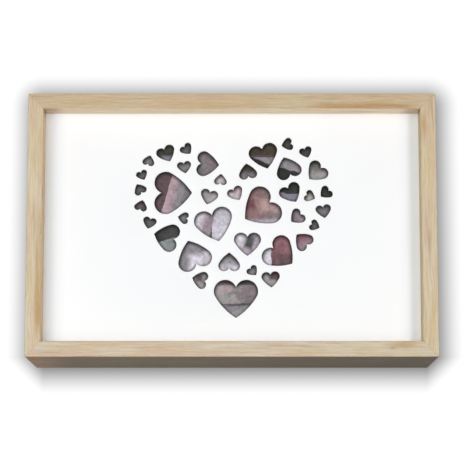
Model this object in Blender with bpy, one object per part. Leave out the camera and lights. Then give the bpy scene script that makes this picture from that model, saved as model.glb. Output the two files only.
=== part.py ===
"""Shallow wooden storage box with a lift-off lid that frames a panel of cut-out hearts.

The box is four mitred boards round a thin floor panel. The lid is a mitred frame of the same
wood, as wide as the box boards, that sits over a tongue round the top of the box. In the lid
a white panel is set well below the face. It is pierced by small hearts that together make one
large heart, and the picture board right behind it, held in the same groove, shows through them.

Metres, +Z up. The origin is on the ground, under the middle of the box. The front, -Y, is the
side that the tip of the large heart points to.
"""

import math

import bmesh
import bpy

# Outside of the box
LENGTH = 0.300
DEPTH = 0.195
BOX_HEIGHT = 0.044

# Boards
BOARD = 0.0115
ARRIS = 0.0006
ARRIS_STEPS = 3
GAP = 0.0003

# Floor panel of the box, held in a groove
FLOOR_THICK = 0.003
FLOOR_RISE = 0.003
GROOVE_DEPTH = 0.005

# Tongue that the lid sits over
TONGUE_HEIGHT = 0.005
TONGUE_THICK = 0.0055

# Down through the lid: heart panel, picture board, and the wood that is left above the tongue
PANEL_RECESS = 0.015
PANEL_THICK = 0.002
PICTURE_THICK = 0.0025
RAIL_BELOW_PICTURE = 0.0112

# Heart pattern: clear panel between the pattern and the nearest rails
PATTERN_MARGIN = 0.0185

# Shape of one heart, as shares of its width: two round lobes, each running on into a side that
# bulges a little on its way to the tip
LOBE_RADIUS = 0.26
LOBE_OFFSET = 0.5 - LOBE_RADIUS
SIDE_RADIUS = 1.4
TIP_DROP = 0.61

# The pattern as drawn, in millimetres from the middle of the panel. Each cutter width has its
# hearts: x and y of the middle between the lobes, and the turn in degrees, anticlockwise, of a
# heart whose tip points to the front. The straight pieces of a curve stay within the flat error.
DRAWN_LENGTH = 147
DRAWN_DEPTH = 135
DRAWN_FLAT_ERROR = 0.08
HEARTS = {
    8.5: [(-67, 40.5, 25), (60, 2, 65), (14.5, -31.5, 40)],
    9: [(-62, 49, 165), (56.5, 24, 65), (-34.5, 7, -100)],
    9.5: [(42.5, 63, -75), (-34.5, 60, 40), (54.5, 58, 20), (-8.5, 34.5, 175),
          (-67.5, 27.5, 210), (-67.5, 15, 165)],
    10: [(70.5, 27, -50), (-60.5, 5, -15)],
    10.5: [(-35.5, 47, 10)],
    11.5: [(67.5, 14, 10)],
    12: [(2, 27, 30), (49.5, 9, -50)],
    13: [(-16.5, 25, -15), (-21.5, -39.5, -105)],
    13.5: [(12, 40, 190), (28.5, -36.5, 5)],
    14: [(-49.5, 57.5, 25)],
    14.5: [(54, -11.5, -135)],
    16: [(-2, -28.5, 180)],
    16.5: [(64.5, 43.5, -45), (42.5, 28, 30)],
    19: [(-21, 48, 85), (42.5, 42, 200)],
    20: [(11.5, -9, 0)],
    21: [(-45, -8, -105)],
    21.5: [(23, 57, 15)],
    25.5: [(32.5, -17, 50), (-27, -24.5, 200)],
    28.5: [(-14, 6.5, 15)],
    30.5: [(25, 17, -55)],
    32: [(-49, 26, 90)],
    32.5: [(3, -47.5, 0)],
}

# Heights and clear sizes that follow
FLOOR_TOP = FLOOR_RISE + FLOOR_THICK
TONGUE_TOP = BOX_HEIGHT + TONGUE_HEIGHT
PICTURE_BOTTOM = TONGUE_TOP + RAIL_BELOW_PICTURE
PICTURE_TOP = PICTURE_BOTTOM + PICTURE_THICK
PANEL_BOTTOM = PICTURE_TOP + GAP
PANEL_TOP = PANEL_BOTTOM + PANEL_THICK
HEIGHT = PANEL_TOP + PANEL_RECESS
INNER_LENGTH = LENGTH - 2 * BOARD
INNER_DEPTH = DEPTH - 2 * BOARD
MITRE_SET_BACK = GAP / math.sqrt(2)
INSERT_OVERLAP = GROOVE_DEPTH - GAP

# The upright corners are cut back to the last arc point before each eased edge turns level
CORNER_EASE = ARRIS * (1 - math.cos(math.pi / 2 * (ARRIS_STEPS - 1) / ARRIS_STEPS))
ROUNDING = 1e-9

# Colours are linear RGB
WOOD = ("pale_wood", (0.60, 0.47, 0.32), 0.55)
WHITE = ("white_panel_paint", (0.90, 0.90, 0.89), 0.45)
PRINT = ("rose_grey_print", (0.27, 0.22, 0.24), 0.40)
PLY = ("floor_plywood", (0.55, 0.42, 0.28), 0.65)


def clear_scene():
    for old in list(bpy.data.objects):
        bpy.data.objects.remove(old, do_unlink=True)


def plain_material(name, colour, roughness):
    material = bpy.data.materials.new(name)
    material.use_nodes = True
    shader = material.node_tree.nodes["Principled BSDF"]
    shader.inputs["Base Color"].default_value = (*colour, 1.0)
    shader.inputs["Roughness"].default_value = roughness
    shader.inputs["Metallic"].default_value = 0.0
    return material


def object_from(bm, name, material):
    """Turn a bmesh into a named object with its faces pointing out."""
    bmesh.ops.recalc_face_normals(bm, faces=bm.faces)
    mesh = bpy.data.meshes.new(name)
    bm.to_mesh(mesh)
    bm.free()
    mesh.materials.append(material)
    piece = bpy.data.objects.new(name, mesh)
    bpy.context.scene.collection.objects.link(piece)
    return piece


def unit(target, start):
    across, up = target[0] - start[0], target[1] - start[1]
    size = math.hypot(across, up)
    return across / size, up / size


def round_corner(before, corner, after, radius):
    """Points of the arc that rounds a square corner of a profile."""
    points = []
    to_before = unit(before, corner)
    to_after = unit(after, corner)
    centre = [corner[i] + radius * (to_before[i] + to_after[i]) for i in (0, 1)]
    for step in range(ARRIS_STEPS + 1):
        angle = math.pi / 2 * step / ARRIS_STEPS
        points.append(tuple(centre[i] - radius * (to_after[i] * math.cos(angle)
                                                  + to_before[i] * math.sin(angle))
                            for i in (0, 1)))
    return points


def eased_profile(corners):
    """Round the corners that are marked as eased. A corner is (depth inwards, height, eased)."""
    points = []
    for i, (across, up, eased) in enumerate(corners):
        if eased:
            before, after = corners[i - 1], corners[(i + 1) % len(corners)]
            points += round_corner(before, (across, up), after, ARRIS)
        else:
            points.append((across, up))
    return points


def groove(top, bottom):
    """Corners of a groove in the inner face that holds what lies between two heights."""
    root = BOARD - GROOVE_DEPTH
    return [(BOARD, top + GAP, False), (root, top + GAP, False),
            (root, bottom - GAP, False), (BOARD, bottom - GAP, False)]


def box_board_profile():
    ledge = BOARD - TONGUE_THICK
    corners = [(0, 0, True), (0, BOX_HEIGHT, True), (ledge, BOX_HEIGHT, False),
               (ledge, TONGUE_TOP, True), (BOARD, TONGUE_TOP, True)]
    corners += groove(FLOOR_TOP, FLOOR_RISE)
    corners.append((BOARD, 0, True))
    return eased_profile(corners)


def lid_rail_profile():
    seat = BOX_HEIGHT + GAP
    over_tongue = TONGUE_TOP + GAP
    beside_tongue = BOARD - TONGUE_THICK - GAP
    corners = [(0, seat, True), (0, HEIGHT, True), (BOARD, HEIGHT, True)]
    corners += groove(PANEL_TOP, PICTURE_BOTTOM)
    corners += [(BOARD, over_tongue, False), (beside_tongue, over_tongue, False),
                (beside_tongue, seat, False)]
    return eased_profile(corners)


def mitre_end(across, half_length):
    """How far a profile point reaches along the board: to the mitre, or to the eased corner."""
    if across < CORNER_EASE:
        return half_length - 2 * CORNER_EASE + across - MITRE_SET_BACK
    return half_length - across - MITRE_SET_BACK


def mitred_board(name, profile, length, material):
    """A board whose outer face is in the plane y = 0, with its inner face towards +Y."""
    bm = bmesh.new()
    ends = []
    for side in (-1, 1):
        ends.append([bm.verts.new((side * mitre_end(across, length / 2), across, up))
                     for across, up in profile])
    low, high = ends
    count = len(profile)
    for i in range(count):
        j = (i + 1) % count
        bm.faces.new((low[i], low[j], high[j], high[i]))
    eased = [i for i in range(count) if profile[i][0] < CORNER_EASE + ROUNDING]
    for end in ends:
        bm.faces.new([end[i] for i in eased])
        bm.faces.new([end[i % count] for i in range(eased[-1], eased[0] + count + 1)])
    return object_from(bm, name, material)


def four_boards(prefix, suffix, profile, material):
    """The front, right, back and left boards, each turned a quarter from the one before."""
    sides = (("front", LENGTH, DEPTH), ("right", DEPTH, LENGTH),
             ("back", LENGTH, DEPTH), ("left", DEPTH, LENGTH))
    for quarter, (side, length, span) in enumerate(sides):
        board = mitred_board(f"{prefix}_{side}_{suffix}", profile, length, material)
        turn = quarter * math.pi / 2
        board.rotation_euler.z = turn
        board.location = (span / 2 * math.sin(turn), -span / 2 * math.cos(turn), 0)


def drawn_arc(centre, radius, start, end):
    """Points of a clockwise arc of the drawing, without its last point."""
    steps = math.ceil((start - end) / (2 * math.acos(1 - DRAWN_FLAT_ERROR / radius)))
    angles = [start - (start - end) * i / steps for i in range(steps)]
    return [(centre[0] + radius * math.cos(angle), centre[1] + radius * math.sin(angle))
            for angle in angles]


def heart_outline(width):
    """Points round a heart of a drawn width, tip towards -Y, lobes level with y = 0."""
    radius, offset, drop = width * LOBE_RADIUS, width * LOBE_OFFSET, width * TIP_DROP

    # The side arc touches the lobe inside and ends at the tip, which gives its centre
    side_radius = width * SIDE_RADIUS
    to_tip = math.hypot(offset, drop)
    along = ((side_radius - radius) ** 2 - side_radius ** 2 + to_tip ** 2) / (2 * to_tip)
    beside = math.sqrt((side_radius - radius) ** 2 - along ** 2)
    side_x = offset - (along * offset + beside * drop) / to_tip
    side_y = (beside * offset - along * drop) / to_tip

    notch = math.acos(-offset / radius)
    joint = math.atan2(-side_y, offset - side_x)
    tip = math.atan2(-drop - side_y, -side_x)
    right = drawn_arc((offset, 0.0), radius, notch, joint)
    right += drawn_arc((side_x, side_y), side_radius, joint, tip)
    right[0] = (0.0, right[0][1])
    left = [(-x, y) for x, y in reversed(right[1:])]
    return right + [(0.0, -drop)] + left


def placed_hearts():
    """Outlines of all the hearts on the panel, fitted between the rails."""
    clear_length = INNER_LENGTH - 2 * PATTERN_MARGIN
    clear_depth = INNER_DEPTH - 2 * PATTERN_MARGIN
    scale = min(clear_length / DRAWN_LENGTH, clear_depth / DRAWN_DEPTH)
    hearts = []
    for width, places in HEARTS.items():
        outline = heart_outline(width)
        for x, y, turn in places:
            cos, sin = math.cos(math.radians(turn)), math.sin(math.radians(turn))
            hearts.append([(scale * (x + px * cos - py * sin), scale * (y + px * sin + py * cos))
                           for px, py in outline])
    return hearts


def insert_outline():
    """Outline of a plate whose edges sit in the grooves of all four boards."""
    x = INNER_LENGTH / 2 + INSERT_OVERLAP
    y = INNER_DEPTH / 2 + INSERT_OVERLAP
    return [(-x, -y), (x, -y), (x, y), (-x, y)]


def flat_plate(name, outlines, top, thickness, material):
    """A level plate from its outer outline and the outlines of its holes."""
    bm = bmesh.new()
    for outline in outlines:
        verts = [bm.verts.new((x, y, top)) for x, y in outline]
        for i, vert in enumerate(verts):
            bm.edges.new((vert, verts[(i + 1) % len(verts)]))
    bmesh.ops.triangle_fill(bm, use_beauty=True, use_dissolve=False, edges=bm.edges[:])
    lower = bmesh.ops.extrude_face_region(bm, geom=bm.faces[:])["geom"]
    moved = [item for item in lower if isinstance(item, bmesh.types.BMVert)]
    bmesh.ops.translate(bm, verts=moved, vec=(0, 0, -thickness))
    return object_from(bm, name, material)


def build_box(wood, ply):
    four_boards("box", "board", box_board_profile(), wood)
    flat_plate("box_floor_panel", [insert_outline()], FLOOR_TOP, FLOOR_THICK, ply)


def build_lid(wood, white, print_card):
    four_boards("lid", "rail", lid_rail_profile(), wood)
    outlines = [insert_outline()] + placed_hearts()
    flat_plate("heart_panel", outlines, PANEL_TOP, PANEL_THICK, white)
    flat_plate("picture_board", [insert_outline()], PICTURE_TOP, PICTURE_THICK, print_card)


def main():
    clear_scene()
    wood, ply = plain_material(*WOOD), plain_material(*PLY)
    white, print_card = plain_material(*WHITE), plain_material(*PRINT)
    build_box(wood, ply)
    build_lid(wood, white, print_card)


main()
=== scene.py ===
"""Looks of the shallow wooden storage box with its lift-off lid of cut-out hearts.

Eight mitred boards of pale wood, the white heart panel, the picture board under it and the
floor panel inside the box. Metres, +Z up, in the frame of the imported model: the origin is on
the ground under the middle of the box, and the tip of the large heart points to the front, -Y.
"""

import math

import bmesh
import bpy
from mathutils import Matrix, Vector


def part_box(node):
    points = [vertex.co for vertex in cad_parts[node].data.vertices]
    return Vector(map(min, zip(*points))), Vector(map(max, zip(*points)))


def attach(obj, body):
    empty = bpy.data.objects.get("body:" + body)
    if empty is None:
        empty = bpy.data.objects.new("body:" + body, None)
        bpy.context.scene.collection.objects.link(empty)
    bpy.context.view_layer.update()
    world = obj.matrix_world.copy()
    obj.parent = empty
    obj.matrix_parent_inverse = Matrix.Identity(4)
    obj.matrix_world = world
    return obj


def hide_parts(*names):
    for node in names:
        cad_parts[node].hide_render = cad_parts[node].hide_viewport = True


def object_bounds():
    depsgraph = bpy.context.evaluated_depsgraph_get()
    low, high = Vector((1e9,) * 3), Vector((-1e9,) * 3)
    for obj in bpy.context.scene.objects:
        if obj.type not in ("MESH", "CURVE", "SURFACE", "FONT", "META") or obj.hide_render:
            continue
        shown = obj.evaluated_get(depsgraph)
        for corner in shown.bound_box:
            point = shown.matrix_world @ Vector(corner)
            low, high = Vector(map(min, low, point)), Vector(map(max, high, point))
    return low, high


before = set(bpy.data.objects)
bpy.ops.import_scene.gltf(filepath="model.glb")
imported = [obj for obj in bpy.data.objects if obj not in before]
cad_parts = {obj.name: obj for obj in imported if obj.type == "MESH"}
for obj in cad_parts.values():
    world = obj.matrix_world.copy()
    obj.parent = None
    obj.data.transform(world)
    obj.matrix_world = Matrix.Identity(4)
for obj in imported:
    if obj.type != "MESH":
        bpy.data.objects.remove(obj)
cad_low, cad_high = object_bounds()

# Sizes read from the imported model
LENGTH = cad_high.x - cad_low.x
DEPTH = cad_high.y - cad_low.y
HEIGHT = cad_high.z
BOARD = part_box("lid_front_rail")[1].y - cad_low.y
TONGUE_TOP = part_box("box_front_board")[1].z
LID_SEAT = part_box("lid_front_rail")[0].z
FLOOR_BOTTOM, FLOOR_TOP = (corner.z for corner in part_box("box_floor_panel"))
PICTURE_BOTTOM, PICTURE_TOP = (corner.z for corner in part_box("picture_board"))
PANEL_BOTTOM, PANEL_TOP = (corner.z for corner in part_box("heart_panel"))
PANEL_HALF_LENGTH, PANEL_HALF_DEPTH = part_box("heart_panel")[1].xy

# Joinery
GAP = 0.0003
BOX_TOP = LID_SEAT - GAP
TONGUE_THICK = 0.0055
GROOVE_ROOT = BOARD - (PANEL_HALF_LENGTH - (LENGTH / 2 - BOARD) + GAP)
MITRE_GAP = 0.00004

# Softened edges of the boards
ARRIS = 0.0006
ARRIS_STEPS = 6
FLAT_BESIDE_ARRIS = 0.0002
CORNER_RADIUS = 0.0009
CORNER_STEPS = 5

# Heart-shaped holes, as shares of a heart's width
LOBE_RADIUS = 0.26
LOBE_OFFSET = 0.5 - LOBE_RADIUS
SIDE_RADIUS = 1.4
TIP_DROP = 0.61
NOTCH_RISE = math.sqrt(LOBE_RADIUS**2 - LOBE_OFFSET**2)

# How finely a hole is drawn, and the small round of its cut edges
LOBE_STEPS = 20
SIDE_STEPS = 8
CUT_EDGE_RADIUS = 0.00022
CUT_EDGE_STEPS = 4

SMOOTH_ANGLE = math.radians(32)
SIDES = ("front", "right", "back", "left")

# What counts as facing up, and as the same depth, height or spot
FACING_UP = 0.9
SAME_DEPTH = 1e-7
SAME_HEIGHT = 1e-5
SPOT_DIGITS = 6


# Meshes

def piece_from(bm, name, material, replaced):
    """Turn a bmesh into a piece of the object that stands for a CAD node."""
    bmesh.ops.recalc_face_normals(bm, faces=bm.faces)
    mesh = bpy.data.meshes.new(name)
    bm.to_mesh(mesh)
    bm.free()
    mesh.materials.append(material)
    mesh.shade_smooth()
    mesh.set_sharp_from_angle(angle=SMOOTH_ANGLE)
    piece = bpy.data.objects.new(name, mesh)
    bpy.context.scene.collection.objects.link(piece)
    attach(piece, "root")
    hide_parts(replaced)
    return piece


def eased_profile(corners):
    """Round the marked corners of a profile. A corner is (depth inwards, height, eased)."""
    points = []
    for i, (across, up, eased) in enumerate(corners):
        corner = Vector((across, up))
        if not eased:
            points.append(corner)
            continue
        before = (Vector(corners[i - 1][:2]) - corner).normalized()
        after = (Vector(corners[(i + 1) % len(corners)][:2]) - corner).normalized()
        centre = corner + ARRIS * (before + after)
        points.append(corner + (ARRIS + FLAT_BESIDE_ARRIS) * before)
        for step in range(ARRIS_STEPS + 1):
            angle = math.pi / 2 * step / ARRIS_STEPS
            points.append(centre - ARRIS * (after * math.cos(angle) + before * math.sin(angle)))
        points.append(corner + (ARRIS + FLAT_BESIDE_ARRIS) * after)
    return points


def groove(top, bottom):
    """Corners of a groove in the inner face that holds what lies between two heights."""
    return [(BOARD, top + GAP, False), (GROOVE_ROOT, top + GAP, False),
            (GROOVE_ROOT, bottom - GAP, False), (BOARD, bottom - GAP, False)]


def box_board_profile():
    ledge = BOARD - TONGUE_THICK
    corners = [(0, 0, True), (0, BOX_TOP, True), (ledge, BOX_TOP, False),
               (ledge, TONGUE_TOP, True), (BOARD, TONGUE_TOP, True)]
    corners += groove(FLOOR_TOP, FLOOR_BOTTOM)
    corners.append((BOARD, 0, True))
    return eased_profile(corners)


def lid_rail_profile():
    over_tongue = TONGUE_TOP + GAP
    beside_tongue = BOARD - TONGUE_THICK - GAP
    corners = [(0, LID_SEAT, True), (0, HEIGHT, True), (BOARD, HEIGHT, True)]
    corners += groove(PANEL_TOP, PICTURE_BOTTOM)
    corners += [(BOARD, over_tongue, False), (beside_tongue, over_tongue, False),
                (beside_tongue, LID_SEAT, False)]
    return eased_profile(corners)


def with_corner_pivots(profile):
    """Add a point at the depth of the corner's centre wherever the profile crosses it."""
    points = []
    for i, point in enumerate(profile):
        points.append(point)
        following = profile[(i + 1) % len(profile)]
        if (point.x - CORNER_RADIUS) * (following.x - CORNER_RADIUS) < 0:
            share = (CORNER_RADIUS - point.x) / (following.x - point.x)
            points.append(point.lerp(following, share))
    return points


def mitred_end(bm, profile, half_length, side, place):
    """Vertices of one end: a column for a deep point, a fan of columns round the corner else."""
    columns = []
    for point in profile:
        if point.x < CORNER_RADIUS - SAME_DEPTH:
            reach = CORNER_RADIUS - point.x
            spots = []
            for step in range(CORNER_STEPS + 1):
                angle = math.pi / 4 * step / CORNER_STEPS
                spots.append((half_length - CORNER_RADIUS + reach * math.sin(angle),
                              CORNER_RADIUS - reach * math.cos(angle)))
        else:
            spots = [(half_length - point.x, point.x)]
        columns.append([bm.verts.new(place(side * (along - MITRE_GAP / 2), across, point.y))
                        for along, across in spots])
    return columns


def mitred_board(name, profile, half_length, place, material, replaced):
    """A board with a rolled upright corner at each mitre. place turns (along, across, up)."""
    bm = bmesh.new()
    profile = with_corner_pivots(profile)
    count = len(profile)
    low, high = (mitred_end(bm, profile, half_length, side, place) for side in (-1, 1))
    for i in range(count):
        j = (i + 1) % count
        bm.faces.new((low[i][0], low[j][0], high[j][0], high[i][0]))
        for end in (low, high):
            fan, other = sorted((end[i], end[j]), key=len, reverse=True)
            for step in range(len(fan) - 1):
                beside = [other[step + 1], other[step]] if len(other) > 1 else other
                bm.faces.new([fan[step], fan[step + 1]] + beside)
    for end in (low, high):
        bm.faces.new([column[-1] for column in end])
    return piece_from(bm, name, material, replaced)


def board_place(quarter):
    """Turn a board's (along, across, up) into the object's frame, for one of the four sides."""
    turn = quarter * math.pi / 2
    span = DEPTH if quarter % 2 == 0 else LENGTH

    def place(along, across, up):
        y = across - span / 2
        return (along * math.cos(turn) - y * math.sin(turn),
                along * math.sin(turn) + y * math.cos(turn), up)

    return place


def build_boards(woods):
    for quarter, side in enumerate(SIDES):
        half_length = (LENGTH if quarter % 2 == 0 else DEPTH) / 2
        place = board_place(quarter)
        mitred_board(f"box_{side}_wood", box_board_profile(), half_length, place, woods[side],
                     f"box_{side}_board")
        mitred_board(f"lid_{side}_wood", lid_rail_profile(), half_length, place, woods[side],
                     f"lid_{side}_rail")


# Heart panel

def top_loops(mesh, height):
    """Closed chains of points round the upper face of a plate: its outline and its holes."""
    def spot(index):
        return tuple(round(value, SPOT_DIGITS) for value in mesh.vertices[index].co)

    after = {}
    for face in mesh.polygons:
        if face.normal.z > FACING_UP and abs(face.center.z - height) < SAME_HEIGHT:
            corners = [spot(index) for index in face.vertices]
            for i, corner in enumerate(corners):
                after.setdefault(corner, set()).add(corners[(i + 1) % len(corners)])
    loops = []
    following = {here: [there for there in others if here not in after.get(there, ())]
                 for here, others in after.items()}
    waiting = {here for here, others in following.items() if others}
    while waiting:
        start = min(waiting)
        loop = [start]
        waiting.discard(start)
        here = following[start][0]
        while here != start:
            loop.append(here)
            waiting.discard(here)
            here = following[here][0]
        loops.append([Vector(point).xy for point in loop])
    return loops


def bend(before, here, after):
    """Signed turn of an outline at a point, in radians."""
    first, second = here - before, after - here
    return math.atan2(first.cross(second), first.dot(second))


def heart_place(loop):
    """Middle between the lobes, unit vector to the tip, and width of one heart-shaped hole."""
    if sum(a.cross(b) for a, b in zip(loop, loop[1:] + loop[:1])) < 0:
        loop = loop[::-1]
    bends = [bend(loop[i - 1], loop[i], loop[(i + 1) % len(loop)]) for i in range(len(loop))]
    tip, notch = loop[bends.index(max(bends))], loop[bends.index(min(bends))]
    width = (tip - notch).length / (TIP_DROP + NOTCH_RISE)
    to_tip = (tip - notch).normalized()
    return notch + to_tip * NOTCH_RISE * width, to_tip, width


def side_centre(width):
    """Centre of the right side's arc, which touches the lobe inside and ends at the tip."""
    radius, offset, drop, reach = (width * share for share in
                                   (LOBE_RADIUS, LOBE_OFFSET, TIP_DROP, SIDE_RADIUS))
    to_tip = math.hypot(offset, drop)
    along = ((reach - radius) ** 2 - reach**2 + to_tip**2) / (2 * to_tip)
    beside = math.sqrt((reach - radius) ** 2 - along**2)
    return (offset - (along * offset + beside * drop) / to_tip,
            (beside * offset - along * drop) / to_tip)


def arc(centre, radius, start, end, steps):
    """Points of an arc without its last point."""
    angles = [start + (end - start) * i / steps for i in range(steps)]
    return [(centre[0] + radius * math.cos(angle), centre[1] + radius * math.sin(angle))
            for angle in angles]


def heart_outline(middle, to_tip, width, grow):
    """Outline of a heart, moved outwards by grow. The notch and the tip stay sharp."""
    offset, radius = width * LOBE_OFFSET, width * LOBE_RADIUS + grow
    side_x, side_y = side_centre(width)
    side_radius = width * SIDE_RADIUS + grow
    drop = math.sqrt(side_radius**2 - side_x**2) - side_y
    joint = math.atan2(-side_y, offset - side_x)
    right = arc((offset, 0.0), radius, math.acos(-offset / radius), joint, LOBE_STEPS)
    right += arc((side_x, side_y), side_radius, joint, -math.acos(-side_x / side_radius),
                 SIDE_STEPS)
    right[0] = (0.0, right[0][1])
    left = [(-x, y) for x, y in reversed(right[1:])]
    aside = Vector((-to_tip.y, to_tip.x))
    return [middle + aside * x - to_tip * y for x, y in right + [(0.0, -drop)] + left]


def ring_of(bm, outline, height):
    return [bm.verts.new((point.x, point.y, height)) for point in outline]


def join_rings(bm, first, second):
    for i in range(len(first)):
        j = (i + 1) % len(first)
        bm.faces.new((first[i], first[j], second[j], second[i]))


def ring_edges(bm, ring):
    """The edges round a ring of vertices, made where there are none."""
    pairs = [(vert, ring[(i + 1) % len(ring)]) for i, vert in enumerate(ring)]
    return [bm.edges.get(pair) or bm.edges.new(pair) for pair in pairs]


def build_heart_panel(material):
    """The white board: each hole has a small round on its upper and lower cut edge."""
    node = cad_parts["heart_panel"]
    loops = top_loops(node.data, PANEL_TOP)
    loops.sort(key=lambda loop: max(point.x for point in loop))
    hearts = [heart_place(loop) for loop in loops[:-1]]
    bm = bmesh.new()
    half_x, half_y = PANEL_HALF_LENGTH, PANEL_HALF_DEPTH
    outline = [Vector(xy) for xy in ((-half_x, -half_y), (half_x, -half_y),
                                     (half_x, half_y), (-half_x, half_y))]
    rims = {}
    for height in (PANEL_TOP, PANEL_BOTTOM):
        rims[height] = [ring_of(bm, outline, height)]
    join_rings(bm, rims[PANEL_TOP][0], rims[PANEL_BOTTOM][0])
    for middle, to_tip, width in hearts:
        rings = []
        for level, away in ((PANEL_TOP, -1), (PANEL_BOTTOM, 1)):
            steps = range(CUT_EDGE_STEPS + 1)
            for step in steps if away < 0 else reversed(steps):
                angle = math.pi / 2 * step / CUT_EDGE_STEPS
                grow = CUT_EDGE_RADIUS * (1 - math.sin(angle))
                sunk = CUT_EDGE_RADIUS * (1 - math.cos(angle))
                shape = heart_outline(middle, to_tip, width, grow)
                rings.append(ring_of(bm, shape, level + away * sunk))
        for first, second in zip(rings, rings[1:]):
            join_rings(bm, first, second)
        rims[PANEL_TOP].append(rings[0])
        rims[PANEL_BOTTOM].append(rings[-1])
    for rings in rims.values():
        edges = [edge for ring in rings for edge in ring_edges(bm, ring)]
        bmesh.ops.triangle_fill(bm, use_beauty=True, use_dissolve=False, edges=edges)
    return piece_from(bm, "white_heart_panel", material, "heart_panel")


# Shader helpers

def feed(tree, socket, value):
    """Link an output to a socket, or set the socket's own value."""
    if isinstance(value, bpy.types.NodeSocket):
        tree.links.new(value, socket)
    elif value is not None:
        socket.default_value = value


def new_group(name, inputs, outputs):
    """A shader group with named sockets. Gives its tree, what comes in and what goes out."""
    tree = bpy.data.node_groups.new(name, "ShaderNodeTree")
    for label, kind, value in inputs:
        socket = tree.interface.new_socket(label, in_out="INPUT", socket_type=f"NodeSocket{kind}")
        if value is not None:
            socket.default_value = value
    for label, kind in outputs:
        tree.interface.new_socket(label, in_out="OUTPUT", socket_type=f"NodeSocket{kind}")
    return tree, tree.nodes.new("NodeGroupInput").outputs, tree.nodes.new("NodeGroupOutput").inputs


def use_group(tree, group, **values):
    """Place a group in a tree. Names of values are socket names with _ for a space."""
    node = tree.nodes.new("ShaderNodeGroup")
    node.node_tree = group
    for label, value in values.items():
        feed(tree, node.inputs[label.replace("_", " ")], value)
    return node.outputs


def calc(tree, operation, *values, clamp=False):
    node = tree.nodes.new("ShaderNodeMath")
    node.operation = operation
    node.use_clamp = clamp
    for socket, value in zip(node.inputs, values):
        feed(tree, socket, value)
    return node.outputs[0]


def between(tree, value, low, high, to_low=0.0, to_high=1.0):
    """A smooth step of a value from one range to another."""
    node = tree.nodes.new("ShaderNodeMapRange")
    node.interpolation_type = "SMOOTHSTEP"
    for socket, given in zip(node.inputs, (value, low, high, to_low, to_high)):
        feed(tree, socket, given)
    return node.outputs[0]


def blend(tree, factor, first, second, mode="MIX"):
    node = tree.nodes.new("ShaderNodeMix")
    node.data_type = "RGBA"
    node.blend_type = mode
    feed(tree, node.inputs["Factor"], factor)
    for label, value in (("A", first), ("B", second)):
        socket = next(s for s in node.inputs if s.name == label and s.type == "RGBA")
        feed(tree, socket, (*value, 1.0) if isinstance(value, tuple) else value)
    return next(s for s in node.outputs if s.type == "RGBA")


def mix_shaders(tree, factor, first, second):
    node = tree.nodes.new("ShaderNodeMixShader")
    for socket, value in zip(node.inputs, (factor, first, second)):
        feed(tree, socket, value)
    return node.outputs[0]


def placed(tree, point, shift=(0, 0, 0), turn=(0, 0, 0), scale=(1, 1, 1), kind="POINT"):
    node = tree.nodes.new("ShaderNodeMapping")
    node.vector_type = kind
    feed(tree, node.inputs["Vector"], point)
    feed(tree, node.inputs["Location"], shift)
    feed(tree, node.inputs["Rotation"], turn)
    feed(tree, node.inputs["Scale"], scale)
    return node.outputs[0]


def noise(tree, point, scale=1.0, detail=2.0, roughness=0.5, distortion=0.0):
    node = tree.nodes.new("ShaderNodeTexNoise")
    for label, value in (("Vector", point), ("Scale", scale), ("Detail", detail),
                         ("Roughness", roughness), ("Distortion", distortion)):
        feed(tree, node.inputs[label], value)
    return node.outputs["Fac"]


def vector(tree, x=0.0, y=0.0, z=0.0):
    node = tree.nodes.new("ShaderNodeCombineXYZ")
    for socket, value in zip(node.inputs, (x, y, z)):
        feed(tree, socket, value)
    return node.outputs[0]


def axes(tree, point):
    node = tree.nodes.new("ShaderNodeSeparateXYZ")
    feed(tree, node.inputs[0], point)
    return node.outputs


def object_point(tree):
    return tree.nodes.new("ShaderNodeTexCoord").outputs["Object"]


def tinted(tree, colour, tint):
    """A colour times a tint, which is a colour, or a socket of one value for all channels."""
    if isinstance(tint, bpy.types.NodeSocket) and tint.type == "VALUE":
        tint = vector(tree, tint, tint, tint)
    return blend(tree, 1.0, colour, tint, "MULTIPLY")


def bumped(tree, height, distance, strength):
    node = tree.nodes.new("ShaderNodeBump")
    feed(tree, node.inputs["Height"], height)
    node.inputs["Distance"].default_value = distance
    node.inputs["Strength"].default_value = strength
    return node.outputs[0]


def new_material(name, roughness, specular):
    """A material with its Principled shader. Gives the material, its tree and the shader."""
    material = bpy.data.materials.new(name)
    material.use_nodes = True
    tree = material.node_tree
    shader = tree.nodes["Principled BSDF"]
    shader.inputs["Roughness"].default_value = roughness
    shader.inputs["Specular IOR Level"].default_value = specular
    return material, tree, shader


# Shared surface effects

# Features of the grain, in metres along and across it. Streaks and fibres get their length from
# the group's inputs, and a streak is WARM_SHORTER times as long as a warm patch.
STREAK_WIDTH = 0.0042
WARM_WIDTH = 0.0065
WARM_SHORTER = 1.4
FIBRE_WIDTH = 0.00045
PORE_LENGTH = 0.0026
PORE_WIDTH = 0.00022
PORE_CUT = (0.64, 0.74)

# Rings of the grain: how far they wander and how wide their waves are, how they lean into the
# board, and where between two rings, 0 to 1, the dark late wood sets in and breaks off
RING_WANDER = 0.011
RING_WANDER_WIDTH = 0.012
RING_LEAN = 0.55
LATE_WOOD = (0.25, 0.92)
LATE_WOOD_END = (1.0, 0.93)

# How far fibres and rings stand up, and how far pores are sunk, against each other
FIBRE_RISE = 0.5
RING_RISE = 0.25
PORE_SINK = 0.6

# A knot's uneven outline, and where its heart and its halo start and are full, in half widths
KNOT_WOBBLE = 0.7
KNOT_HEART = (1.0, 0.25)
KNOT_HALO = (2.4, 0.8)

# The range in which most values of a noise lie, and the wider one in which nearly all lie
NOISE_MIDDLE = (0.3, 0.7)
NOISE_SPREAD = (0.2, 0.8)


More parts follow.
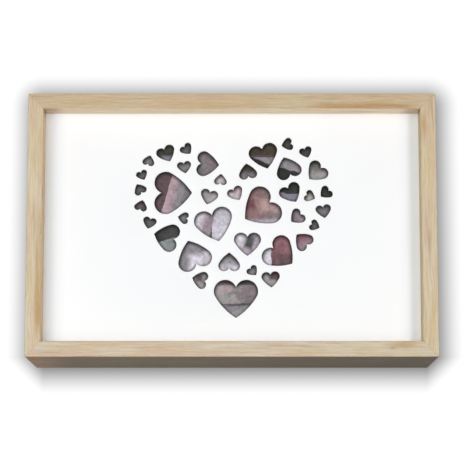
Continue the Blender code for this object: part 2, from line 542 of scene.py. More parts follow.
def straight_grain_group():
    """Grain of a plain-sawn board. Point is in metres, with the grain along X."""
    tree, given, made = new_group(
        "Straight Grain",
        [("Point", "Vector", None), ("Ring Spacing", "Float", 0.0026),
         ("Streak Length", "Float", 0.060), ("Fibre Length", "Float", 0.010)],
        [("Rings", "Float"), ("Streaks", "Float"), ("Warmth", "Float"),
         ("Fibres", "Float"), ("Pores", "Float"), ("Relief", "Float")])
    point = given["Point"]
    along = calc(tree, "DIVIDE", 1.0, given["Streak Length"])

    def stretched(lengthways, width):
        return placed(tree, point, scale=vector(tree, lengthways, 1 / width, 1 / width))

    slow = noise(tree, stretched(along, RING_WANDER_WIDTH), detail=2.0)
    streaks = noise(tree, stretched(along, STREAK_WIDTH), detail=3.0, roughness=0.55)
    shorter = calc(tree, "MULTIPLY", along, WARM_SHORTER)
    warmth = noise(tree, stretched(shorter, WARM_WIDTH), detail=1.5)
    parts = axes(tree, point)
    over = calc(tree, "MULTIPLY_ADD", parts["Z"], RING_LEAN, parts["Y"])
    bent = calc(tree, "MULTIPLY_ADD", slow, RING_WANDER, over)
    phase = calc(tree, "FRACT", calc(tree, "DIVIDE", bent, given["Ring Spacing"]))
    late = calc(tree, "MULTIPLY", between(tree, phase, *LATE_WOOD),
                between(tree, phase, *LATE_WOOD_END))
    fibre_along = calc(tree, "DIVIDE", 1.0, given["Fibre Length"])
    fibres = noise(tree, stretched(fibre_along, FIBRE_WIDTH), detail=3.0, roughness=0.6)
    pore_noise = noise(tree, stretched(1 / PORE_LENGTH, PORE_WIDTH), detail=1.0)
    pores = between(tree, pore_noise, *PORE_CUT)
    for label, value in (("Rings", late), ("Streaks", streaks), ("Warmth", warmth),
                         ("Fibres", fibres), ("Pores", pores)):
        feed(tree, made[label], value)
    relief = calc(tree, "SUBTRACT", calc(tree, "MULTIPLY", fibres, FIBRE_RISE),
                  calc(tree, "MULTIPLY", pores, PORE_SINK))
    feed(tree, made["Relief"], calc(tree, "MULTIPLY_ADD", late, RING_RISE, relief))
    return tree


def frame_edges_group():
    """Where a point of the boards lies: by the face's inner arris, by a mitre, and how deep."""
    tree, given, made = new_group(
        "Frame Edges",
        [("Point", "Vector", None), ("Reach", "Float", 0.0012)],
        [("Inner Arris", "Float"), ("Mitre", "Float"), ("From Mitre", "Float"),
         ("Depth", "Float")])
    parts = axes(tree, given["Point"])
    from_end = calc(tree, "SUBTRACT", LENGTH / 2, calc(tree, "ABSOLUTE", parts["X"]))
    from_side = calc(tree, "SUBTRACT", DEPTH / 2, calc(tree, "ABSOLUTE", parts["Y"]))
    depth = calc(tree, "MINIMUM", from_end, from_side)
    below = calc(tree, "SUBTRACT", HEIGHT, parts["Z"])
    inside = calc(tree, "SUBTRACT", BOARD, depth)
    furthest = calc(tree, "MAXIMUM", calc(tree, "ABSOLUTE", inside), below)
    feed(tree, made["Inner Arris"], between(tree, furthest, given["Reach"], 0.0))
    off_mitre = calc(tree, "ABSOLUTE", calc(tree, "SUBTRACT", from_end, from_side))
    feed(tree, made["Mitre"], between(tree, off_mitre, given["Reach"], 0.0))
    feed(tree, made["From Mitre"], off_mitre)
    feed(tree, made["Depth"], depth)
    return tree


def small_knot_group():
    """A small knot: its dark heart and the paler ring round it. Middle and size in metres."""
    tree, given, made = new_group(
        "Small Knot",
        [("Point", "Vector", None), ("Middle", "Vector", None), ("Size", "Vector", None)],
        [("Heart", "Float"), ("Halo", "Float")])
    local = placed(tree, given["Point"], shift=given["Middle"], scale=given["Size"], kind="TEXTURE")
    wobble = noise(tree, local, scale=1.3, detail=2.0)
    length = tree.nodes.new("ShaderNodeVectorMath")
    length.operation = "LENGTH"
    feed(tree, length.inputs[0], local)
    even = calc(tree, "SUBTRACT", length.outputs["Value"], KNOT_WOBBLE / 2)
    away = calc(tree, "MULTIPLY_ADD", wobble, KNOT_WOBBLE, even)
    feed(tree, made["Heart"], between(tree, away, *KNOT_HEART))
    feed(tree, made["Halo"], between(tree, away, *KNOT_HALO))
    return tree


def print_area_group():
    """One print of the collage: where it lies, and how far across and up it a point is, 0 to 1."""
    tree, given, made = new_group(
        "Print Area",
        [("Point", "Vector", None), ("Middle", "Vector", None), ("Half Size", "Vector", None),
         ("Turn", "Float", 0.0), ("Edge", "Float", 0.03)],
        [("Inside", "Float"), ("Across", "Float"), ("Up", "Float")])
    local = placed(tree, given["Point"], given["Middle"], vector(tree, z=given["Turn"]),
                   given["Half Size"], kind="TEXTURE")
    parts = axes(tree, local)
    off = calc(tree, "MAXIMUM", *(calc(tree, "ABSOLUTE", parts[axis]) for axis in "XY"))
    within = calc(tree, "SUBTRACT", 1.0, off)
    feed(tree, made["Inside"], between(tree, within, 0.0, given["Edge"]))
    for label, axis in (("Across", "X"), ("Up", "Y")):
        feed(tree, made[label], calc(tree, "MULTIPLY_ADD", parts[axis], 0.5, 0.5))
    return tree


# Materials. Colours are linear RGB, and a relief is a depth in metres with a strength.

WOOD_PALE = (0.62, 0.535, 0.395)
WOOD_ROSY = (0.600, 0.425, 0.300)
WOOD_STRAW = (0.57, 0.46, 0.255)
WOOD_BROWN = (0.36, 0.235, 0.140)
WOOD_GOLD = (0.46, 0.290, 0.135)

# How the rails differ: the tone of the wood, the tint and the roughness of the inner face, where
# the tint is painted light that mostly lightens it, how much of the wood is rosy, the stretch
# along the rail, in metres, where the grain by the inner edge is gold, how much darker brown the
# inner arris is, and where the painted shade in a back corner starts and is full, in metres from
# the corner. A smoother inner face mirrors more of the white panel at a low angle. CORNER_SHADE is
# the tint of that painted shade.
RAIL_LOOKS = {
    "front": {"tone": (1.00, 1.02, 1.05), "inner": (1.00, 1.00, 1.00), "inner_roughness": 0.52,
              "rosy": 0.55, "gold": (0.108, 0.142), "dark_arris": 0.24, "corner": (0.004, 0.001)},
    "right": {"tone": (1.03, 1.02, 0.98), "inner": (1.02, 1.00, 0.90), "inner_roughness": 0.80,
              "rosy": 0.40, "gold": (0.055, 0.090), "dark_arris": 0.24, "corner": (0.003, 0.001)},
    "back": {"tone": (0.93, 0.87, 0.77), "inner": (1.62, 1.60, 1.53), "inner_roughness": 0.24,
             "rosy": 0.30, "gold": (0.050, 0.142), "dark_arris": 0.06, "corner": (0.0165, 0.006)},
    "left": {"tone": (1.02, 1.03, 1.00), "inner": (1.26, 1.12, 0.93), "inner_roughness": 0.52,
             "rosy": 0.50, "gold": (-0.088, 0.020), "dark_arris": 0.24, "corner": (0.005, 0.001)},
}
CORNER_SHADE = (0.77, 0.67, 0.61)

# The outer face at the front: its tone at the left and right end, which is painted light, lighter
# at the left and darker at the right, and a rosy, lighter stretch at the left
FRONT_PAINTED_LIGHT = (1.12, 0.84)
ROSY_END = 0.034
ROSY_TONE = (1.55, 1.28, 1.18)

# The knot on the front lid rail, with the strength of its halo and its heart
KNOT_PLACE = (0.1165, -0.0912, HEIGHT)
KNOT_SIZE = (0.0024, 0.0011, 0.0200)
KNOT_TINTS = {"Halo": 0.22, "Heart": 0.55}

# Tints of the grain: where in its values, 0 to 1, a tint starts and is full, and its strength at
# the two. Rings and pores have one strength, and fibres change the tone and the roughness.
ROSY_PATCHES = (0.36, 0.66)
ROSY_STRENGTH = 1.6
STRAW_STREAKS = (0.46, 0.66, 0.0, 0.80)
BROWN_STREAKS = (0.44, 0.28, 0.0, 0.45)
GOLD_PATCHES = (0.34, 0.60, 0.35, 0.95)
BROWN_RINGS = 0.16
BROWN_PORES = 0.28
FIBRE_TONES = (0.91, 1.07)
WOOD_ROUGHNESS = (0.46, 0.60)
WOOD_RELIEF = (0.00018, 0.6)

# Zones by their depth from a board's outer face, in metres: where one starts and is full, and for
# the dark line of a mitre, which darkens further towards the inner face as painted shade in the
# inner corner, also its strength at the two. Along a rail the gold zone fades in over GOLD_FADE.
OUTER_FACE = (0.0002, 0.0001)
INNER_FACE = (BOARD - 0.0004, BOARD - 0.0001)
GOLD_EDGE = (BOARD - 0.0064, BOARD - 0.0022)
GOLD_FADE = 0.018
MITRE_LINE_AND_SHADE = (BOARD - 0.0020, BOARD - 0.0001, 0.14, 0.55)

# How far the grain is moved along and across from one side to the next
GRAIN_SHIFT = (0.31, 0.17)


def grained_wood(tree, looks, rosy_share):
    """Pale wood with rosy patches, straw and brown streaks and brown rings."""
    rosy = calc(tree, "MULTIPLY", between(tree, looks["Warmth"], *ROSY_PATCHES),
                rosy_share * ROSY_STRENGTH, clamp=True)
    colour = blend(tree, rosy, WOOD_PALE, WOOD_ROSY)
    straw = between(tree, looks["Streaks"], *STRAW_STREAKS)
    colour = blend(tree, straw, colour, WOOD_STRAW)
    brown = between(tree, looks["Streaks"], *BROWN_STREAKS)
    colour = blend(tree, brown, colour, WOOD_BROWN)
    rings = calc(tree, "MULTIPLY", looks["Rings"], BROWN_RINGS)
    return blend(tree, rings, colour, WOOD_BROWN)


def gold_by_edge(tree, colour, looks, depth, inner, lengthways, stretch):
    """Patchy gold grain on the face by a board's inner edge, on one stretch of its length."""
    gold_from, gold_to = stretch
    within = calc(tree, "MINIMUM", calc(tree, "SUBTRACT", lengthways, gold_from),
                  calc(tree, "SUBTRACT", gold_to, lengthways))
    by_edge = between(tree, depth, *GOLD_EDGE)
    gold = calc(tree, "MULTIPLY", between(tree, within, 0.0, GOLD_FADE),
                calc(tree, "SUBTRACT", by_edge, inner))
    patchy = between(tree, looks["Streaks"], *GOLD_PATCHES)
    return blend(tree, calc(tree, "MULTIPLY", gold, patchy), colour, WOOD_GOLD)


def with_fibres(tree, colour, looks):
    """Fine fibres, and pores as small brown dashes."""
    colour = tinted(tree, colour, between(tree, looks["Fibres"], *NOISE_MIDDLE, *FIBRE_TONES))
    pores = calc(tree, "MULTIPLY", looks["Pores"], BROWN_PORES)
    return blend(tree, pores, colour, WOOD_BROWN)


def front_wood(tree, colour, knot, point, depth, lengthways):
    """What only the front side has: the knot, and the tones of its outer face, with painted light
    lighter at the left end and darker at the right.
    """
    dark = use_group(tree, knot, Point=point, Middle=KNOT_PLACE, Size=KNOT_SIZE)
    for zone, tone in (("Halo", WOOD_GOLD), ("Heart", WOOD_BROWN)):
        strength = calc(tree, "MULTIPLY", dark[zone], KNOT_TINTS[zone])
        colour = blend(tree, strength, colour, tone)
    # Painted light along the outer face: lighter at the left end, darker at the right
    painted_light = between(tree, lengthways, -LENGTH / 2, LENGTH / 2, *FRONT_PAINTED_LIGHT)
    end = between(tree, lengthways, -LENGTH / 2 + ROSY_END, -LENGTH / 2)
    tint = tinted(tree, blend(tree, end, (1.0, 1.0, 1.0), ROSY_TONE), painted_light)
    on_face = between(tree, depth, *OUTER_FACE)
    return blend(tree, on_face, colour, tinted(tree, colour, tint))


def inner_wood(tree, colour, inner, near, back_part, rail):
    """The darker brown inner arris, and the tone of the inner face, which is painted light, with
    painted shade in the back corners.
    """
    # A darker brown line along the inner arris
    dark_arris = calc(tree, "MULTIPLY", near["Inner Arris"], rail["dark_arris"])
    colour = blend(tree, dark_arris, colour, WOOD_BROWN)
    # Painted shade in the back corners, over painted light that lifts the inner face
    nook = calc(tree, "MULTIPLY", between(tree, near["From Mitre"], *rail["corner"]), back_part)
    shaded = tuple(tone * shade for tone, shade in zip(rail["inner"], CORNER_SHADE))
    inner_painted_light = blend(tree, nook, rail["inner"], shaded)
    return blend(tree, inner, colour, tinted(tree, colour, inner_painted_light))


def wood_material(side, turn, shift, grain, edges, knot):
    """Pale wood of one side. The lid rail and the box board share it, so the grain runs on."""
    material, tree, shader = new_material(f"pale_wood_{side}", roughness=0.52, specular=0.35)
    rail = RAIL_LOOKS[side]
    point = object_point(tree)
    looks = use_group(tree, grain, Point=placed(tree, point, shift=shift, turn=(0, 0, turn)))
    near = use_group(tree, edges, Point=point)
    parts = axes(tree, point)
    lengthways = parts["X" if side in ("front", "back") else "Y"]
    inner = between(tree, near["Depth"], *INNER_FACE)

    colour = grained_wood(tree, looks, rail["rosy"])
    colour = gold_by_edge(tree, colour, looks, near["Depth"], inner, lengthways, rail["gold"])
    colour = tinted(tree, with_fibres(tree, colour, looks), rail["tone"])
    if side == "front":
        colour = front_wood(tree, colour, knot, point, near["Depth"], lengthways)
    back_part = between(tree, parts["Y"], 0.0, DEPTH / 4)
    colour = inner_wood(tree, colour, inner, near, back_part, rail)
    # The dark mitre line, with painted shade where it reaches the inner corner
    joint = between(tree, near["Depth"], *MITRE_LINE_AND_SHADE)
    colour = blend(tree, calc(tree, "MULTIPLY", near["Mitre"], joint), colour, WOOD_BROWN)
    feed(tree, shader.inputs["Base Color"], colour)

    roughness = between(tree, looks["Fibres"], *NOISE_SPREAD, *WOOD_ROUGHNESS)
    change = calc(tree, "SUBTRACT", rail["inner_roughness"], roughness)
    inner_change = calc(tree, "MULTIPLY", inner, change)
    feed(tree, shader.inputs["Roughness"], calc(tree, "ADD", roughness, inner_change))
    feed(tree, shader.inputs["Normal"], bumped(tree, looks["Relief"], *WOOD_RELIEF))
    return material


# The paint's two whites and roughnesses, which change in soft clouds, and the fine peel of its
# surface. The scales are so many to the metre.
PANEL_WHITES = ((0.877, 0.886, 0.896), (0.896, 0.902, 0.910))
PANEL_ROUGHNESS = (0.38, 0.46)
PANEL_RELIEF = (0.00004, 0.5)
PAINT_CLOUD_SCALE = 9.0
PAINT_PEEL_SCALE = 900.0

# Soft shade on the panel beside the end rails: its tint, and in metres from the rail where it
# starts and is full on its far side, and then on its side by the rail
PANEL_SHADE = {"left": (0.820, 0.845, 0.875), "right": (0.875, 0.905, 0.920)}
PANEL_SHADE_REACH = (0.018, 0.004)
PANEL_SHADE_FOOT = (0.001, 0.006)


def panel_material():
    """White satin paint with the faint texture of a sprayed board."""
    material, tree, shader = new_material("white_panel_paint", roughness=0.42, specular=0.4)
    point = object_point(tree)
    cloud = noise(tree, point, scale=PAINT_CLOUD_SCALE, detail=2.0)
    colour = blend(tree, between(tree, cloud, *NOISE_MIDDLE), *PANEL_WHITES)
    for side, way in (("left", 1.0), ("right", -1.0)):
        from_rail = calc(tree, "MULTIPLY_ADD", axes(tree, point)["X"], way, LENGTH / 2 - BOARD)
        shade = calc(tree, "MULTIPLY", between(tree, from_rail, *PANEL_SHADE_REACH),
                     between(tree, from_rail, *PANEL_SHADE_FOOT))
        colour = blend(tree, shade, colour, tinted(tree, colour, PANEL_SHADE[side]))
    feed(tree, shader.inputs["Base Color"], colour)
    peel = noise(tree, point, scale=PAINT_PEEL_SCALE, detail=2.0)
    sheen = between(tree, cloud, *NOISE_SPREAD, *PANEL_ROUGHNESS)
    feed(tree, shader.inputs["Roughness"], sheen)
    feed(tree, shader.inputs["Normal"], bumped(tree, peel, *PANEL_RELIEF))
    return material


# Inks of the collage of soft abstract prints
COAL = (0.023, 0.025, 0.023)
MOSS = (0.032, 0.037, 0.028)
UMBER = (0.058, 0.044, 0.032)
OLIVE = (0.072, 0.068, 0.046)
SOOT = (0.058, 0.056, 0.060)
SLATE = (0.110, 0.113, 0.118)
SMOKE = (0.165, 0.152, 0.160)
DUSK = (0.195, 0.160, 0.170)
ASH = (0.240, 0.222, 0.242)
STONE = (0.335, 0.318, 0.312)
SAND = (0.480, 0.435, 0.400)
SAGE = (0.235, 0.265, 0.262)
MIST = (0.450, 0.440, 0.500)
LILAC = (0.210, 0.200, 0.255)
FOG = (0.500, 0.460, 0.475)
PEARL = (0.620, 0.580, 0.650)
SNOW = (0.720, 0.680, 0.780)
MAUVE = (0.300, 0.240, 0.272)
HEATHER = (0.380, 0.325, 0.375)
BLUSH = (0.420, 0.295, 0.335)
ROSE = (0.400, 0.275, 0.265)
CLAY = (0.255, 0.145, 0.142)
PLUM = (0.104, 0.068, 0.076)
WINE = (0.160, 0.066, 0.084)
ROSEWOOD = (0.245, 0.118, 0.132)
KRAFT = (0.400, 0.270, 0.155)

# The prints from the lowest to the topmost: middle and size on the board in millimetres, turn
# in degrees, the inks at the start and the end of its shading, which way the shading runs, and
# how much of its half size is a soft edge
PRINTS = {
    "smoke_haze": ((-65, 46), (18, 24), 0, (SLATE, ASH), "Up", 0.30),
    "smoke_patch": ((14.5, -32), (12, 12), 0, (ASH, ASH), "Up", 0.30),
    "olive_hill": ((40, 63.6), (72, 16.6), 0, (UMBER, OLIVE), "Up", 0.04),
    "soot_hill": ((52, 60), (24, 14), 0, (SOOT, SOOT), "Up", 0.30),
    "pale_shore": ((34, 45.1), (44, 18.5), 0, (ASH, ASH), "Across", 0.02),
    "dusk_line": ((24, 54.6), (24, 1.6), 0, (PLUM, UMBER), "Across", 0.60),
    "black_rock": ((20.6, 49.0), (18, 6.6), -24, (COAL, COAL), "Up", 0.30),
    "brown_dusk": ((12, 41.8), (16, 13), 0, (ASH, UMBER), "Up", 0.04),
    "grey_rise": ((65.5, 44.8), (19, 19), 0, (STONE, MOSS), "Up", 0.04),
    "grey_dawn": ((58.5, 25.3), (10, 12), 0, (SAND, SOOT), "Up", 0.05),
    "coal_square": ((72.5, 28.8), (15, 14), 0, (MOSS, MOSS), "Up", 0.05),
    "grey_sea": ((68, 7.3), (24, 25), 0, (SLATE, SMOKE), "Up", 0.04),
    "smoke_square": ((49, 9.8), (14, 14), 0, (SMOKE, MAUVE), "Across", 0.05),
    "moss_cloud": ((-50.5, 58.3), (19, 15), 0, (MOSS, OLIVE), "Up", 0.05),
    "ash_hem": ((-48, 53.0), (15, 7), 0, (ASH, LILAC), "Up", 0.80),
    "mauve_mist": ((-19, 49.3), (22, 23), 0, (SMOKE, DUSK), "Across", 0.05),
    "ash_strip": ((-37, 47.8), (14, 14), 0, (SMOKE, ASH), "Across", 0.05),
    "sand_square": ((-14, 29.3), (24, 23), 0, (STONE, FOG), "Across", 0.05),
    "ash_drift": ((-36.5, 27.8), (19, 32), 0, (ASH, SMOKE), "Across", 0.05),
    "sage_corner": ((-37, 10.3), (18, 19), 0, (SLATE, SAGE), "Up", 0.20),
    "plum_dusk": ((-56.1, 30), (16, 36), -16, (PLUM, PLUM), "Up", 0.04),
    "blush_veil": ((-43.1, 26.2), (11.5, 36), -16, (BLUSH, ASH), "Across", 0.06),
    "pearl_sky": ((-6, 3.8), (18, 26), 0, (PEARL, MIST), "Up", 0.04),
    "mauve_veil": ((-21.8, 6.1), (16, 27), -13, (PEARL, MAUVE), "Across", 0.12),
    "dawn_square": ((2, 27.3), (16, 15), 0, (FOG, BLUSH), "Up", 0.05),
    "sage_field": ((-49, -10.2), (22, 20), 0, (SAGE, SAGE), "Up", 0.05),
    "moss_leaf": ((-50.4, -2.5), (26, 12), 18, (MOSS, SOOT), "Across", 0.10),
    "ash_frame": ((-28, -21.2), (30, 28), 0, (ASH, ASH), "Up", 0.04),
    "snow_light": ((-26.5, -24.6), (17, 17), 0, (SNOW, SNOW), "Up", 0.80),
    "sand_corner": ((-17, -21.7), (9, 14), 0, (FOG, PEARL), "Up", 0.40),
    "pearl_shade": ((10.5, -11.2), (23, 22), 0, (PEARL, HEATHER), "Across", 0.04),
    "slate_drop": ((13.2, -9.6), (9.5, 16), -20, (SOOT, SLATE), "Up", 0.70),
    "blue_mist": ((24.2, -18.7), (10.6, 18), 0, (MIST, PEARL), "Across", 0.04),
    "wine_petal": ((38.4, -20.2), (17.8, 34), 0, (PLUM, ROSEWOOD), "Up", 0.04),
    "rose_petal": ((54.8, -10.2), (14.5, 16), 0, (MAUVE, ROSEWOOD), "Up", 0.04),
    "ash_petal": ((-2, -26.2), (20, 16.5), 0, (PEARL, SMOKE), "Up", 0.04),
    "ash_leaf": ((-23, -39.2), (18, 16), 0, (STONE, ASH), "Up", 0.04),
    "plum_seed": ((-24.5, -36.7), (7, 7), 0, (PLUM, PLUM), "Up", 0.70),
    "ash_bud": ((29, -36.7), (16, 13), 0, (STONE, ASH), "Up", 0.04),
    "plum_bud": ((32.5, -34.7), (12, 9), 0, (PLUM, PLUM), "Up", 0.50),
    "ash_rose": ((3, -46), (36, 19.6), 0, (STONE, DUSK), "Across", 0.04),
    "rose_shade": ((3, -39.4), (34, 6.4), 0, (PLUM, SOOT), "Across", 0.50),
    "blush_glow": ((-4.5, -44.7), (11, 5.5), 0, (BLUSH, BLUSH), "Up", 0.80),
    "ash_shore": ((3, -63.2), (36, 14), 0, (STONE, ASH), "Up", 0.04),
    "tide_line": ((4, -56.4), (30, 3.4), 2, (SLATE, SOOT), "Across", 0.90),
    "rose_cloud": ((24.5, 20.3), (33, 25), 0, (CLAY, DUSK), "Across", 0.04),
    "rose_glow": ((27, 17.5), (24, 18), 0, (ROSE, ROSE), "Up", 0.90),
    "wine_bloom": ((14, 18.8), (10, 12), 10, (WINE, WINE), "Up", 0.75),
    "white_lace": ((24.5, 4.3), (33, 9.6), 0, (PEARL, HEATHER), "Up", 0.60),
    "moss_bank": ((42.5, 35.6), (25, 18), -15.5, (COAL, MOSS), "Across", 0.05),
    "lilac_slate": ((44.8, 21.9), (18.6, 9.6), 0, (LILAC, LILAC), "Up", 0.05),
}

MILLIMETRE = 0.001

# The collage lies on the board a little narrower than it is drawn, and nearer to the front
COLLAGE_STRETCH = 0.987
COLLAGE_FORWARD = 0.0009

# Unevenness of the collage: clouds that move the shading of a print by a share of its length,
# waves in the prints' edges, lighter and darker patches, a fine mottle and flecks. Sizes and the
# waves' shift are in metres, and the scales are so many to the metre.
CLOUD_SIZE = 0.009
CLOUD_SHIFT = 0.7
SHADING_RUN = (0.15, 0.85)
WAVE_SIZE = 0.0045
WAVE_SHIFT = 0.0016
PATCH_SIZE = 0.0040
PATCH_RANGE = (0.25, 0.75)
PATCH_TONES = (0.80, 1.19)
MOTTLE_SCALE = 420.0
MOTTLE_TONES = (0.90, 1.08)
FLECK_SCALE = 700.0
PRINT_RELIEF = (0.00003, 0.5)

# Shade in the holes: how far it reaches, the way it looks for light, and the power it is raised to
HOLE_SHADE_REACH = 0.003
HOLE_SHADE_TILT = (-0.12, 0.28, 0.95)
HOLE_SHADE = 2.6
HOLE_SHADE_SAMPLES = 8

# Heights in the board between which the print gives way to the kraft paper behind it
PRINT_END = (PICTURE_TOP - 0.0002, PICTURE_TOP - 0.0004)


def collage(tree, area, point):
    """The prints laid one over another, with clouded shading and wavy edges."""
    cloud = noise(tree, point, scale=1 / CLOUD_SIZE, detail=3.0, distortion=0.6)
    stray = calc(tree, "MULTIPLY", calc(tree, "SUBTRACT", cloud, 0.5), CLOUD_SHIFT)
    wave = calc(tree, "SUBTRACT", noise(tree, point, scale=1 / WAVE_SIZE, detail=2.0), 0.5)
    along_wave = calc(tree, "MULTIPLY", wave, WAVE_SHIFT)
    drawn = placed(tree, point, shift=(0, COLLAGE_FORWARD, 0), scale=(1 / COLLAGE_STRETCH, 1, 1))
    waved = placed(tree, drawn, shift=vector(tree, along_wave, along_wave))
    colour = blend(tree, cloud, SOOT, SMOKE)
    for middle, size, turn, inks, run, soft in PRINTS.values():
        half = (size[0] / 2 * MILLIMETRE, size[1] / 2 * MILLIMETRE, 1.0)
        spot = (middle[0] * MILLIMETRE, middle[1] * MILLIMETRE, 0.0)
        sheet = use_group(tree, area, Point=waved, Middle=spot, Half_Size=half,
                          Turn=math.radians(turn), Edge=soft)
        shading = between(tree, calc(tree, "ADD", sheet[run], stray), *SHADING_RUN)
        colour = blend(tree, sheet["Inside"], colour, blend(tree, shading, *inks))
    return colour


def mottled(tree, colour, point):
    """Lighter and darker patches over a fine mottle."""
    patches = noise(tree, point, scale=1 / PATCH_SIZE, detail=3.0, distortion=0.8)
    patchy = between(tree, patches, *PATCH_RANGE, *PATCH_TONES)
    speckle = noise(tree, point, scale=MOTTLE_SCALE, detail=3.0)
    mottle = between(tree, speckle, *NOISE_MIDDLE, *MOTTLE_TONES)
    return tinted(tree, colour, calc(tree, "MULTIPLY", patchy, mottle))


def hole_shade(tree):
    """How much light the panel leaves in a hole. The back and left of a hole are darkest."""
    nook = tree.nodes.new("ShaderNodeAmbientOcclusion")
    nook.samples = HOLE_SHADE_SAMPLES
    feed(tree, nook.inputs["Distance"], HOLE_SHADE_REACH)
    feed(tree, nook.inputs["Normal"], vector(tree, *HOLE_SHADE_TILT))
    return calc(tree, "POWER", nook.outputs["AO"], HOLE_SHADE)


def print_material(area):
    """Collage of soft abstract prints on the face of the picture board, kraft paper behind."""
    material, tree, shader = new_material("picture_print", roughness=0.50, specular=0.12)
    point = object_point(tree)
    colour = mottled(tree, collage(tree, area, point), point)
    colour = tinted(tree, colour, hole_shade(tree))
    behind = between(tree, axes(tree, point)["Z"], *PRINT_END)
    colour = blend(tree, behind, colour, KRAFT)
    feed(tree, shader.inputs["Base Color"], colour)
    fleck = noise(tree, point, scale=FLECK_SCALE, detail=2.0)
    feed(tree, shader.inputs["Normal"], bumped(tree, fleck, *PRINT_RELIEF))
    return material


# Plywood: its two tones, the strength of its rings and its relief
PLYWOOD_TONES = ((0.50, 0.36, 0.22), (0.62, 0.49, 0.33))
PLYWOOD_RINGS = 0.25
PLYWOOD_RELIEF = (0.0002, 0.5)


def plywood_material(grain):
    """Thin plywood of the box's floor panel."""
    material, tree, shader = new_material("floor_plywood", roughness=0.62, specular=0.3)
    looks = use_group(tree, grain, Point=object_point(tree), Ring_Spacing=0.006,
                      Streak_Length=0.12)
    colour = blend(tree, between(tree, looks["Streaks"], *NOISE_MIDDLE), *PLYWOOD_TONES)
    rings = calc(tree, "MULTIPLY", looks["Rings"], PLYWOOD_RINGS)
    colour = blend(tree, rings, colour, WOOD_BROWN)
    feed(tree, shader.inputs["Base Color"], colour)
    feed(tree, shader.inputs["Normal"], bumped(tree, looks["Relief"], *PLYWOOD_RELIEF))
    return material


def set_material(node, material):
    """Give a CAD node that stays a better material."""
    node.data.materials.clear()
    node.data.materials.append(material)


# Stage, light and camera

FLOOR_SIZE = 12.0
FLOOR_SHOWN = (1.02, 1.02, 1.02)

# What the floor throws back in front of the box, and beside and behind it
BOUNCED_IN_FRONT = (0.22, 0.22, 0.23)
BOUNCED_BEHIND = (0.80, 0.80, 0.80)

# The soft shade round the foot of the box: how wide it is, how dark it would get, how full it is
# at the front and back corners (2 is round, 1 is cut straight across), and where it starts at
# the right, back, left and front, in metres outwards from the box's sides
CONTACT_REACH = 0.031
CONTACT_SHADE = (0.15, 0.15, 0.15)
CONTACT_CORNERS = (1.1, 2.4)
CONTACT_STARTS = (-0.0011, 0.0068, -0.0057, -0.0082)

# Light of the surroundings, how bright they show, and the round softboxes: place, width and watts
WORLD_LIGHT = 0.14
BACKDROP_SHOWN = 1.02
SOFTBOX_AIM = (0, 0, 0.08)
SOFTBOXES = {
    "key_softbox": ((-0.45, 0.02, 1.45), 0.5, 5.0),
    "overhead_softbox": ((0, -0.15, 1.60), 2.4, 12.8),
    "left_softbox": ((-0.80, -0.05, 1.40), 0.5, 4.1),
    "right_softbox": ((0.80, -0.05, 1.40), 0.5, 5.9),
}

# The camera. Lens and sensor are in millimetres, and the shift is a share of the sensor's width.
CAMERA_PLACE = (0.0023, -0.236, 1.380)
CAMERA_TILT = math.radians(8.00)
FOCAL_LENGTH = 138.6
SENSOR_WIDTH = 36.0
FRAME_SHIFT = 0.13


def way_from_box(tree, parts):
    """How far a point of the floor lies outside the line where the soft shade starts."""
    right, back, left, front = CONTACT_STARTS
    fullness = between(tree, parts["Y"], -DEPTH / 4, DEPTH / 4, *CONTACT_CORNERS)
    away = []
    for axis, half, above, below in (("X", LENGTH / 2, right, left), ("Y", DEPTH / 2, back, front)):
        over = calc(tree, "SUBTRACT", parts[axis], half + above)
        under = calc(tree, "SUBTRACT", -half - below, parts[axis])
        way = calc(tree, "MAXIMUM", calc(tree, "MAXIMUM", over, under), 0.0)
        away.append(calc(tree, "POWER", way, fullness))
    return calc(tree, "POWER", calc(tree, "ADD", *away), calc(tree, "DIVIDE", 1.0, fullness))


def under_box(tree, parts):
    """1 where the box stands on the floor, and 0 outside it."""
    outside = (calc(tree, "SUBTRACT", calc(tree, "ABSOLUTE", parts[axis]), half - ARRIS)
               for axis, half in (("X", LENGTH / 2), ("Y", DEPTH / 2)))
    return calc(tree, "LESS_THAN", calc(tree, "MAXIMUM", *outside), 0.0)


def floor_material():
    """White floor with a soft shade round the box. It throws little light on the front side.

    From below it is clear, and under the box it has a hole, so that the underside shows.
    """
    material = bpy.data.materials.new("studio_white")
    material.use_nodes = True
    tree = material.node_tree
    tree.nodes.remove(tree.nodes["Principled BSDF"])
    parts = axes(tree, object_point(tree))
    lit = between(tree, way_from_box(tree, parts), 0.0, CONTACT_REACH)
    shown = tree.nodes.new("ShaderNodeEmission")
    feed(tree, shown.inputs["Color"], blend(tree, lit, CONTACT_SHADE, FLOOR_SHOWN))
    bounced = tree.nodes.new("ShaderNodeBsdfDiffuse")
    behind = between(tree, parts["Y"], -DEPTH / 2, 0.0)
    feed(tree, bounced.inputs["Color"], blend(tree, behind, BOUNCED_IN_FRONT, BOUNCED_BEHIND))
    seen = tree.nodes.new("ShaderNodeLightPath").outputs["Is Camera Ray"]
    upper = mix_shaders(tree, seen, bounced.outputs[0], shown.outputs[0])
    beneath = tree.nodes.new("ShaderNodeNewGeometry").outputs["Backfacing"]
    clear = tree.nodes.new("ShaderNodeBsdfTransparent").outputs[0]
    feed(tree, tree.nodes["Material Output"].inputs["Surface"],
         mix_shaders(tree, calc(tree, "MAXIMUM", beneath, under_box(tree, parts)), upper, clear))
    return material


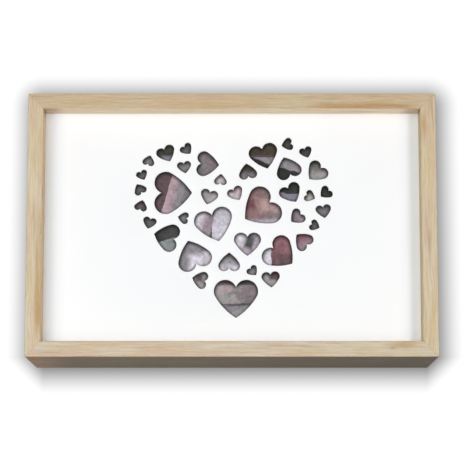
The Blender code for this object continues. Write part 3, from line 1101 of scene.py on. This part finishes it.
def build_floor():
    bm = bmesh.new()
    bmesh.ops.create_grid(bm, x_segments=1, y_segments=1, size=FLOOR_SIZE / 2)
    mesh = bpy.data.meshes.new("studio_floor")
    bm.to_mesh(mesh)
    bm.free()
    mesh.materials.append(floor_material())
    floor = bpy.data.objects.new("studio_floor", mesh)
    bpy.context.scene.collection.objects.link(floor)


def add_softbox(name, place, size, watts):
    light = bpy.data.lights.new(name, "AREA")
    light.shape = "DISK"
    light.size = size
    light.energy = watts
    lamp = bpy.data.objects.new(name, light)
    lamp.location = place
    lamp.rotation_euler = (Vector(SOFTBOX_AIM) - Vector(place)).to_track_quat("-Z", "Y").to_euler()
    bpy.context.scene.collection.objects.link(lamp)


def build_light():
    world = bpy.data.worlds.new("studio")
    bpy.context.scene.world = world
    world.use_nodes = True
    tree = world.node_tree
    tree.nodes["Background"].inputs["Color"].default_value = (1, 1, 1, 1)
    seen = tree.nodes.new("ShaderNodeLightPath").outputs["Is Camera Ray"]
    feed(tree, tree.nodes["Background"].inputs["Strength"],
         between(tree, seen, 0.0, 1.0, WORLD_LIGHT, BACKDROP_SHOWN))
    for name, (place, size, watts) in SOFTBOXES.items():
        add_softbox(name, place, size, watts)


def build_camera():
    data = bpy.data.cameras.new("camera")
    data.lens = FOCAL_LENGTH
    data.sensor_width = SENSOR_WIDTH
    data.shift_y = FRAME_SHIFT
    camera = bpy.data.objects.new("camera", data)
    camera.location = CAMERA_PLACE
    camera.rotation_euler = (CAMERA_TILT, 0, 0)
    bpy.context.scene.collection.objects.link(camera)
    bpy.context.scene.camera = camera


def main():
    build_camera()
    build_floor()
    build_light()
    grain, edges, knot = straight_grain_group(), frame_edges_group(), small_knot_group()
    woods = {}
    for quarter, side in enumerate(SIDES):
        shift = (GRAIN_SHIFT[0] * quarter, GRAIN_SHIFT[1] * quarter, 0)
        woods[side] = wood_material(side, quarter * math.pi / 2, shift, grain, edges, knot)
    build_boards(woods)
    build_heart_panel(panel_material())
    set_material(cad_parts["picture_board"], print_material(print_area_group()))
    set_material(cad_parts["box_floor_panel"], plywood_material(grain))


main()
bpy.context.scene.view_settings.view_transform = "Standard"
